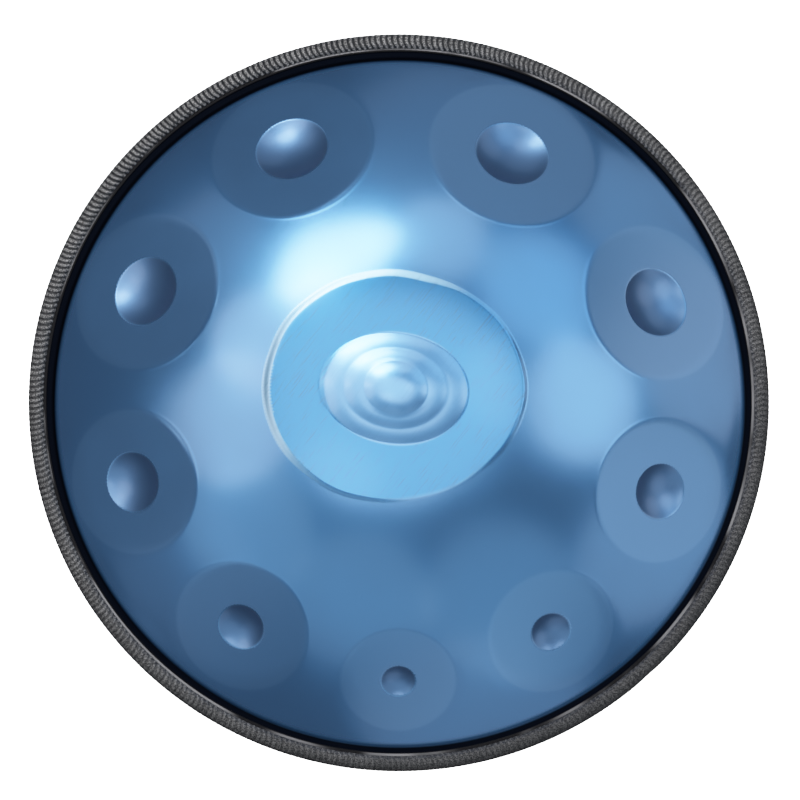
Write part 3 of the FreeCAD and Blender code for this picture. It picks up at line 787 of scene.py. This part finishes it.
class Nodes:
    """A material's node tree, with short ways to add nodes."""

    def __init__(self, name):
        self.material = bpy.data.materials.new(name)
        self.material.use_nodes = True
        self.tree = self.material.node_tree
        self.shader = self.tree.nodes["Principled BSDF"]

    def add(self, kind, **settings):
        """Add a node; settings are its own properties."""
        node = self.tree.nodes.new(kind)
        for key, value in settings.items():
            setattr(node, key, value)
        return node

    def link(self, output, socket):
        """Join an output to an input."""
        self.tree.links.new(output, socket)

    def feed(self, socket, value):
        """Set an input to a number or colour, or join it to an output."""
        if isinstance(value, bpy.types.NodeSocket):
            self.link(value, socket)
        elif isinstance(value, (tuple, list)) and len(value) == 3 and len(socket.default_value) == 4:
            socket.default_value = (*value, 1.0)
        else:
            socket.default_value = value

    def mask(self, name):
        """A mesh attribute as a number."""
        return self.add("ShaderNodeAttribute", attribute_name=name).outputs["Fac"]

    def place(self, sizes=(1000, 1000, 1000), turn=0.0):
        """The piece's own coordinates, turned about Z (degrees), with each size (mm) made 1."""
        coordinates = self.add("ShaderNodeTexCoord").outputs["Object"]
        mapping = self.add("ShaderNodeMapping", vector_type="TEXTURE")
        mapping.inputs["Scale"].default_value = [size * MM for size in sizes]
        mapping.inputs["Rotation"].default_value = (0, 0, math.radians(turn))
        self.link(coordinates, mapping.inputs["Vector"])
        return mapping.outputs["Vector"]

    def noise(self, vector, scale, detail=2.0, roughness=0.5, distortion=0.0):
        """Noise texture, 0 to 1."""
        node = self.add("ShaderNodeTexNoise")
        self.link(vector, node.inputs["Vector"])
        node.inputs["Scale"].default_value = scale
        node.inputs["Detail"].default_value = detail
        node.inputs["Roughness"].default_value = roughness
        node.inputs["Distortion"].default_value = distortion
        return node.outputs["Fac"]

    def math(self, operation, first, second=0.0, third=0.0):
        """A math node."""
        node = self.add("ShaderNodeMath", operation=operation)
        for socket, value in zip(node.inputs, (first, second, third)):
            self.feed(socket, value)
        return node.outputs[0]

    def ramp(self, value, low, high, low_to=0.0, high_to=1.0):
        """Smooth map of a range."""
        node = self.add("ShaderNodeMapRange", interpolation_type="SMOOTHSTEP")
        for key, number in (("Value", value), ("From Min", low), ("From Max", high),
                            ("To Min", low_to), ("To Max", high_to)):
            self.feed(node.inputs[key], number)
        return node.outputs["Result"]

    def mix(self, share, first, second, blend="MIX"):
        """Colour mix."""
        node = self.add("ShaderNodeMix", data_type="RGBA", blend_type=blend)
        self.feed(node.inputs[0], share)
        self.feed(node.inputs[6], first)
        self.feed(node.inputs[7], second)
        return node.outputs[2]

    def bump(self, height, strength, distance, before=None):
        """Bump from a height field; distance in metres."""
        node = self.add("ShaderNodeBump")
        node.inputs["Strength"].default_value = strength
        node.inputs["Distance"].default_value = distance
        self.link(height, node.inputs["Height"])
        if before is not None:
            self.link(before, node.inputs["Normal"])
        return node.outputs["Normal"]


def radius_about(nodes, centre):
    """Distance from a vertical axis through centre (mm), in metres."""
    coordinates = nodes.add("ShaderNodeTexCoord").outputs["Object"]
    split = nodes.add("ShaderNodeSeparateXYZ")
    nodes.link(coordinates, split.inputs[0])
    across = nodes.math("SUBTRACT", split.outputs["X"], centre[0] * MM)
    along = nodes.math("SUBTRACT", split.outputs["Y"], centre[1] * MM)
    squares = nodes.math("ADD", nodes.math("POWER", across, 2.0), nodes.math("POWER", along, 2.0))
    return nodes.math("SQRT", squares)


DOME_BLUE = (0.070, 0.300, 0.740)
PLATEAU_BLUE = (0.018, 0.270, 0.740)
FIELD_BLUE = (0.108, 0.350, 0.800)
DIMPLE_GREY = (0.120, 0.260, 0.540)
RIM_SHADE_BLACK = (0.002, 0.003, 0.006)
BEVEL_HIGHLIGHT_BLUE = (0.300, 0.620, 1.000)
BOSS_BLUE = (0.160, 0.460, 1.000)
SCRATCH_BLUE = (0.04, 0.17, 0.42)
# Roughness of the dome's steel, from its smoother patches to its duller ones. Kept below 0.27, so
# that the denoiser treats the bare dome alike; the masked areas are rougher.
SMOOTH_STEEL = 0.22
DULL_STEEL = 0.268
BRUSHING_AZIMUTH = 52.0
# Painted shade: a near-black ring on the steel just inside the braid, where the braid's shade and
# dark reflection fall; its centre is offset so the ring is wider towards +Y and a little towards -X.
RIM_SHADE_CENTRE = (0.75, -1.5)
RIM_SHADE_START = 256.6
RIM_SHADE_END = 261.2


def steel_material(name, note_side_look):
    """Blued, clear-coated steel. The note side's look also follows its masks, with painted shade
    next to the rim and a painted highlight on the plateau's bevel.
    """
    nodes = Nodes(name)
    shader = nodes.shader
    shader.inputs["Metallic"].default_value = 1.0
    shader.inputs["Coat Weight"].default_value = 1.0
    shader.inputs["Coat Roughness"].default_value = 0.17
    shader.inputs["Coat IOR"].default_value = 1.8

    cloud = nodes.noise(nodes.place(), 9.0, detail=3.0, roughness=0.55)
    fine = nodes.noise(nodes.place(), 60.0, detail=4.0, roughness=0.6)
    colour = nodes.mix(nodes.ramp(cloud, 0.3, 0.7), DOME_BLUE,
                       tuple(part * 0.93 for part in DOME_BLUE))
    roughness = nodes.ramp(cloud, 0.25, 0.75, SMOOTH_STEEL, DULL_STEEL)

    # Hairline brushing, finest along the lower-left to upper-right diagonal.
    brushed = nodes.noise(nodes.place((12, 0.6, 12), BRUSHING_AZIMUTH), 1.0)
    scratches = nodes.noise(nodes.place((16, 0.8, 16), BRUSHING_AZIMUTH), 1.0, detail=1.0)
    if note_side_look:
        plateau = nodes.mask("plateau")
        field = nodes.mask("field")
        dimple = nodes.mask("dimple")
        boss = nodes.mask("boss")
        bevel = nodes.mask("bevel")
        colour = nodes.mix(plateau, colour, PLATEAU_BLUE)
        # Painted highlight: the bevel is painted a lighter blue, mostly at the upper left.
        colour = nodes.mix(bevel, colour, BEVEL_HIGHLIGHT_BLUE)
        colour = nodes.mix(boss, colour, BOSS_BLUE)
        colour = nodes.mix(field, colour, FIELD_BLUE)
        colour = nodes.mix(dimple, colour, DIMPLE_GREY)
        scratch_line = nodes.ramp(scratches, 0.60, 0.68)
        below_boss = nodes.math("MULTIPLY_ADD", boss, -0.8, plateau)
        scratch_line = nodes.math("MULTIPLY", scratch_line, below_boss)
        colour = nodes.mix(nodes.math("MULTIPLY", scratch_line, 0.5), colour, SCRATCH_BLUE)
        roughness = nodes.math("MULTIPLY_ADD", bevel, 0.12, roughness)
        roughness = nodes.math("MULTIPLY_ADD", boss, 0.05, roughness)
        roughness = nodes.math("MULTIPLY_ADD", dimple, 0.12, roughness)
        # Painted shade: the steel darkens to near black towards the braid, with a rougher finish and
        # no coat.
        edge = nodes.ramp(radius_about(nodes, RIM_SHADE_CENTRE), RIM_SHADE_START * MM,
                          RIM_SHADE_END * MM)
        colour = nodes.mix(edge, colour, RIM_SHADE_BLACK)
        roughness = nodes.math("MULTIPLY_ADD", edge, 0.35, roughness)
        bare = nodes.math("MAXIMUM", edge, nodes.math("MULTIPLY", dimple, 0.75))
        nodes.link(nodes.math("SUBTRACT", 1.0, bare), shader.inputs["Coat Weight"])
    nodes.feed(shader.inputs["Base Color"], colour)
    nodes.feed(shader.inputs["Roughness"], roughness)
    normal = nodes.bump(brushed, 0.12, 0.00004)
    normal = nodes.bump(fine, 0.15, 0.0002, normal)
    nodes.link(normal, shader.inputs["Normal"])
    return nodes.material


# Painted highlight on the guard's inner lip: grey in patches, offset so that it reaches further
# inward at the lower right, where the lip catches the upper-left lamps.
LIP_HIGHLIGHT_CENTRE = (-0.35, 0.35)
LIP_HIGHLIGHT_START = 266.8
LIP_HIGHLIGHT_END = 267.2


def rubber_material():
    """Black moulded rubber, with a painted highlight in grey patches along its inner lip."""
    nodes = Nodes("rim_rubber")
    shader = nodes.shader
    grain = nodes.noise(nodes.place(), 900.0, detail=3.0)
    colour = nodes.mix(grain, (0.002, 0.002, 0.003), (0.005, 0.005, 0.006))
    lip = nodes.ramp(radius_about(nodes, LIP_HIGHLIGHT_CENTRE), LIP_HIGHLIGHT_START * MM, LIP_HIGHLIGHT_END * MM)
    lip_highlight_patches = nodes.ramp(nodes.noise(nodes.place(), 14.0, detail=2.0), 0.42, 0.58)
    # Painted highlight: grey patches along the lip.
    colour = nodes.mix(nodes.math("MULTIPLY", lip, lip_highlight_patches), colour, (0.20, 0.20, 0.21))
    nodes.feed(shader.inputs["Base Color"], colour)
    nodes.feed(shader.inputs["Roughness"], nodes.ramp(grain, 0.3, 0.7, 0.55, 0.75))
    shader.inputs["Specular IOR Level"].default_value = 0.12
    nodes.link(nodes.bump(grain, 0.3, 0.0001), shader.inputs["Normal"])
    return nodes.material


def glue_material():
    """Dull dark glue line."""
    nodes = Nodes("seam_glue_line")
    shader = nodes.shader
    grain = nodes.noise(nodes.place(), 400.0, detail=3.0)
    colour = nodes.mix(grain, (0.02, 0.02, 0.022), (0.05, 0.05, 0.052))
    nodes.feed(shader.inputs["Base Color"], colour)
    nodes.feed(shader.inputs["Roughness"], nodes.ramp(grain, 0.3, 0.7, 0.6, 0.8))
    nodes.link(nodes.bump(grain, 0.2, 0.0001), shader.inputs["Normal"])
    return nodes.material


def braid_material():
    """Charcoal braided cord, lighter on its strands; painted shade darkens its gaps, its side away
    from the lamps and its outer band to near black.
    """
    nodes = Nodes("braided_cord")
    shader = nodes.shader
    gap = nodes.mask("gap")
    fibre = nodes.noise(nodes.place(), 1600.0, detail=3.0, roughness=0.6)
    patch = nodes.noise(nodes.place(), 30.0, detail=3.0, roughness=0.6)
    speckle = nodes.noise(nodes.place(), 950.0, detail=2.0)
    strand = nodes.mix(nodes.ramp(fibre, 0.3, 0.7), (0.20, 0.20, 0.205), (0.44, 0.44, 0.45))
    strand = nodes.mix(nodes.ramp(patch, 0.35, 0.65, 0.0, 0.35), strand, (0.09, 0.09, 0.095))
    strand = nodes.mix(nodes.ramp(speckle, 0.44, 0.58, 0.0, 0.85), strand, (0.012, 0.012, 0.014))
    # Painted shade: the gap mask darkens the cord to near black.
    colour = nodes.mix(gap, strand, (0.003, 0.004, 0.006))
    nodes.feed(shader.inputs["Base Color"], colour)
    nodes.feed(shader.inputs["Roughness"], nodes.ramp(fibre, 0.2, 0.8, 0.45, 0.7))
    nodes.link(nodes.bump(fibre, 0.5, 0.0003), shader.inputs["Normal"])
    shader.inputs["Specular IOR Level"].default_value = 0.25
    return nodes.material


# ---------------------------------------------------------------- the pieces

note_side_steel = steel_material("blued_steel_note_side", True)
port_side_steel = steel_material("blued_steel_port_side", False)

note_shell = make_note_side(note_side_steel)
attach(note_shell, "root")
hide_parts("top_shell")

port_shell = make_bottom_shell(port_side_steel)
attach(port_shell, "root")
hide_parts("bottom_shell")

guard = make_rim_guard(rubber_material())
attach(guard, "root")
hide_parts("rim_guard")

braid = make_rim_braid(braid_material())
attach(braid, "root")
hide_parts("rim_braid")

glue_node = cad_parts["glue_seam"]
glue_node.data.materials.clear()
glue_node.data.materials.append(glue_material())


# ---------------------------------------------------------------- floor, light and camera

# In reflections the floor is pale out to the first distance from the axis and dark beyond the
# second, in metres.
PALE_FLOOR_END = 0.31
DARK_FLOOR_START = 0.36
WHITE_STRENGTH = 6.0
FLOOR_HALF_SIZE = 40.0


def floor_material():
    """Backdrop: plain white to the camera; in reflections, pale under the pan and dark beyond."""
    nodes = Nodes("pale_floor")
    shader = nodes.shader
    grain = nodes.noise(nodes.place(), 40.0)
    beyond = nodes.ramp(radius_about(nodes, (0.0, 0.0)), PALE_FLOOR_END, DARK_FLOOR_START)
    dark = nodes.mix(grain, (0.10, 0.10, 0.10), (0.12, 0.12, 0.12))
    nodes.feed(shader.inputs["Base Color"], nodes.mix(beyond, (0.85, 0.87, 0.90), dark))
    shader.inputs["Roughness"].default_value = 0.95
    shader.inputs["Specular IOR Level"].default_value = 0.1
    shader.inputs["Emission Color"].default_value = (1, 1, 1, 1)
    camera_ray = nodes.add("ShaderNodeLightPath").outputs["Is Camera Ray"]
    nodes.link(nodes.math("MULTIPLY", camera_ray, WHITE_STRENGTH),
               shader.inputs["Emission Strength"])
    return nodes.material


def make_floor():
    """A wide plain floor at the instrument's resting plane."""
    half = FLOOR_HALF_SIZE
    mesh = bpy.data.meshes.new("studio_floor")
    corners = [(-half, -half, 0), (half, -half, 0), (half, half, 0), (-half, half, 0)]
    mesh.from_pydata(corners, [], [(0, 1, 2, 3)])
    mesh.materials.append(floor_material())
    floor = bpy.data.objects.new("studio_floor", mesh)
    bpy.context.scene.collection.objects.link(floor)


AIM = Vector((0, 0, SEAM_HEIGHT * MM))


def direction_to(azimuth, elevation):
    """Unit vector towards an azimuth (anticlockwise from +X) and elevation, in degrees."""
    turn = math.radians(azimuth)
    climb = math.radians(elevation)
    return Vector((math.cos(turn) * math.cos(climb), math.sin(turn) * math.cos(climb),
                   math.sin(climb)))


def softbox(name, azimuth, elevation, half_angle, radiance, stretch=1.0, colour=(1, 1, 1),
            distance=3.0):
    """An area light seen from the instrument under a half angle (degrees) and radiance."""
    size = 2 * distance * math.tan(math.radians(half_angle))
    light = bpy.data.lights.new(name, "AREA")
    light.shape = "ELLIPSE"
    light.size = size * stretch
    light.size_y = size / stretch
    area = math.pi / 4 * light.size * light.size_y
    light.energy = radiance * math.pi * area
    light.color = colour
    lamp = bpy.data.objects.new(name, light)
    bpy.context.scene.collection.objects.link(lamp)
    towards = direction_to(azimuth, elevation)
    lamp.location = AIM + towards * distance
    lamp.rotation_mode = "QUATERNION"
    lamp.rotation_quaternion = towards.to_track_quat("Z", "Y")
    lamp.visible_camera = False
    return lamp


# Tints: bluer at the back right, faintly blue in front, warmer at the left and low at the right.
COOL_LIGHT = (0.60, 0.83, 1.0)
SKY_LIGHT = (0.78, 0.95, 1.0)
WARM_LIGHT = (1.0, 0.86, 0.80)

# name, azimuth, elevation and half angle (degrees), radiance, stretch, colour
SOFTBOXES = [
    ("overhead", 120, 89, 22, 1.95),
    ("high_front_left", 225, 74, 8, 0.8),
    ("high_right", 20, 70, 8, 0.8),
    ("key", 112, 51, 10.5, 9.5, 1.35),
    ("key_core", 123, 58, 7, 5.0, 1.0, WARM_LIGHT),
    ("key_left", 150, 54, 12, 2.35, 1.0, WARM_LIGHT),
    ("left", 182, 52, 14, 1.95, 1.0, WARM_LIGHT),
    ("right", 5, 48, 13, 2.1),
    ("back_right", 42, 47, 13, 1.6, 1.0, COOL_LIGHT),
    ("back", 77, 48, 10, 1.6),
    ("low_back_left", 135, 29, 11, 0.4),
    ("low_left_front", 215, 29, 16, 0.16),
    ("low_back", 80, 23, 20, 0.25),
    ("low_corner", 42, 16, 14, 0.5),
    ("low_back_right", 12, 18, 15, 0.85, 1.0, WARM_LIGHT),
    ("low_right", 335, 24, 16, 0.68),
    ("front_left", 216, 47, 14, 0.65, 1.0, SKY_LIGHT),
    ("front", 258, 46, 16, 0.55, 1.0, SKY_LIGHT),
    ("front_right", 300, 42, 17, 0.48, 1.0, SKY_LIGHT),
    ("low_front", 285, 16, 20, 0.36),
]


def make_world():
    """Even soft surroundings for the object, plain white for the camera."""
    world = bpy.data.worlds.new("studio")
    bpy.context.scene.world = world
    world.use_nodes = True
    tree = world.node_tree
    tree.nodes.clear()
    output = tree.nodes.new("ShaderNodeOutputWorld")
    mix = tree.nodes.new("ShaderNodeMixShader")
    ambient = tree.nodes.new("ShaderNodeBackground")
    ambient.inputs["Color"].default_value = (0.9, 0.95, 1.0, 1)
    ambient.inputs["Strength"].default_value = 0.2
    white = tree.nodes.new("ShaderNodeBackground")
    white.inputs["Color"].default_value = (1, 1, 1, 1)
    white.inputs["Strength"].default_value = WHITE_STRENGTH
    path = tree.nodes.new("ShaderNodeLightPath")
    tree.links.new(path.outputs["Is Camera Ray"], mix.inputs["Fac"])
    tree.links.new(ambient.outputs[0], mix.inputs[1])
    tree.links.new(white.outputs[0], mix.inputs[2])
    tree.links.new(mix.outputs[0], output.inputs["Surface"])


CAMERA_DISTANCE = 4.0
CAMERA_ELEVATION = 84.5
CAMERA_LENS = 238.2
CAMERA_SENSOR = 36.0
CAMERA_SHIFT = (0.0015, 0.0005)


def make_camera():
    """A long lens, almost straight above the instrument."""
    camera = bpy.data.cameras.new("camera")
    camera.lens = CAMERA_LENS
    camera.sensor_width = CAMERA_SENSOR
    camera.shift_x, camera.shift_y = CAMERA_SHIFT
    camera.clip_end = 100
    holder = bpy.data.objects.new("camera", camera)
    bpy.context.scene.collection.objects.link(holder)
    back = direction_to(270, CAMERA_ELEVATION)
    holder.location = AIM + back * CAMERA_DISTANCE
    holder.rotation_mode = "QUATERNION"
    holder.rotation_quaternion = (-back).to_track_quat("-Z", "Y")
    bpy.context.scene.camera = holder


BRIGHTEST = 5.0
TONE_STEPS = 12


def set_tone():
    """A soft shoulder: highlights fade to white as on film, as 1 - exp(-radiance)."""
    view = bpy.context.scene.view_settings
    view.view_transform = "Standard"
    view.use_curve_mapping = True
    mapping = view.curve_mapping
    mapping.white_level = (BRIGHTEST, BRIGHTEST, BRIGHTEST)
    curve = mapping.curves[3]
    full = 1 - math.exp(-BRIGHTEST)
    for step in range(1, TONE_STEPS):
        share = (step / TONE_STEPS) ** 2
        curve.points.new(share, (1 - math.exp(-BRIGHTEST * share)) / full)
    mapping.update()


make_floor()
for box in SOFTBOXES:
    softbox(*box)
# A nearer lamp at the upper left, which only matt surfaces take up.
near_fill = softbox("near_fill", 125, 38, 12, 14.0, distance=1.0)
near_fill.visible_glossy = False
make_world()
make_camera()
set_tone()
